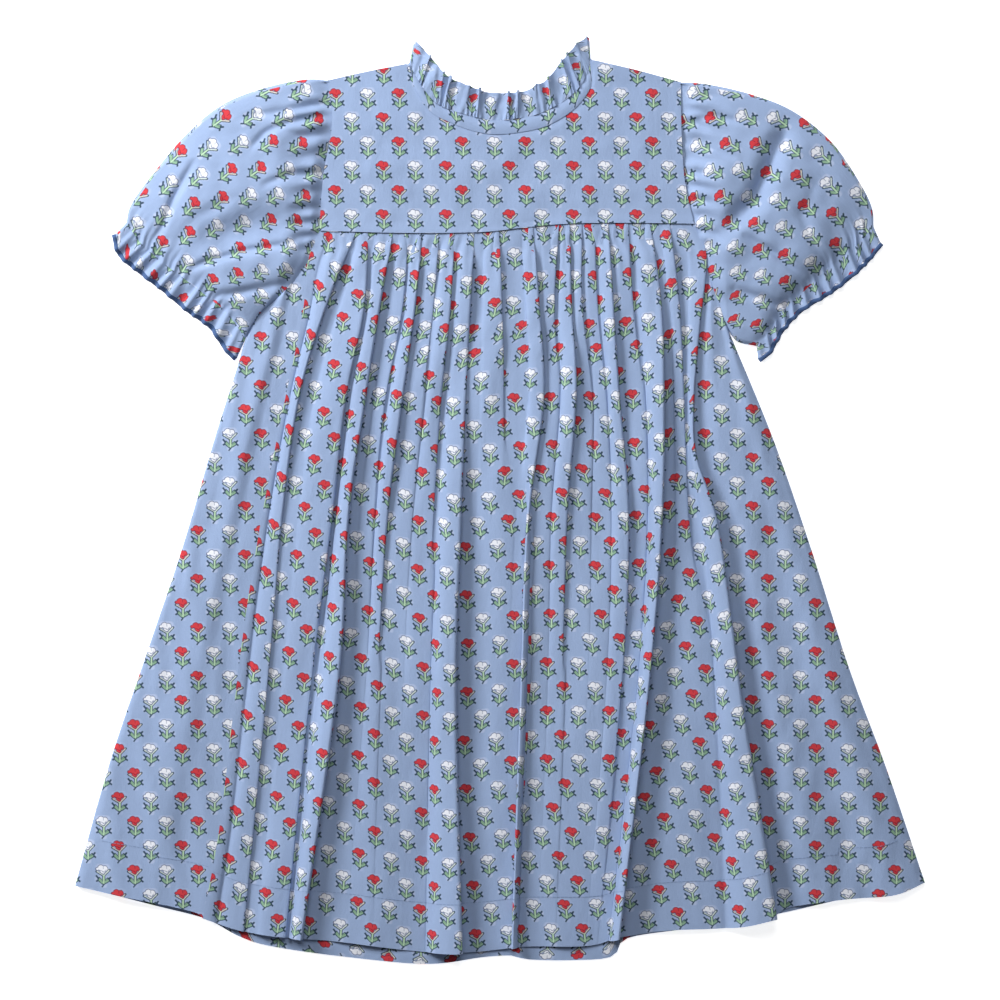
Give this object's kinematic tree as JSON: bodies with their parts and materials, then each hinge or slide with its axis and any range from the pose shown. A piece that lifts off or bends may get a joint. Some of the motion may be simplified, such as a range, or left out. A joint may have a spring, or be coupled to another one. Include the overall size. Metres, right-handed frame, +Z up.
{
  "type": "child's smock dress laid flat",
  "caption": "Child's cotton smock dress laid flat on its back: plain yoke, gathered skirt, puffed sleeves with bound frills and a frilled neckband.",
  "frame": {"origin": "centre of the dress's outline seen from above, on the surface that it lies on", "axes": "+Z up from the surface, +Y from the hem towards the neck, +X to the right as seen from above"},
  "size_m": [0.5524, 0.6028, 0.012],
  "materials": {
    "printed_cotton": "matt light cotton, blue with a small red and white flower print",
    "navy_binding": "matt cotton binding",
    "button_resin": "satin"
  },
  "bodies": {
    "root": {"skirt_front": "printed_cotton", "skirt_back": "printed_cotton", "yoke_front": "printed_cotton", "yoke_back_left": "printed_cotton", "yoke_back_right": "printed_cotton", "sleeve_left": "printed_cotton", "sleeve_right": "printed_cotton", "cuff_frill_left": "printed_cotton", "cuff_frill_right": "printed_cotton", "cuff_binding_left": "navy_binding", "cuff_binding_right": "navy_binding", "neckband": "printed_cotton", "neck_frill": "printed_cotton", "back_button": "button_resin"}
  },
  "joints": []
}
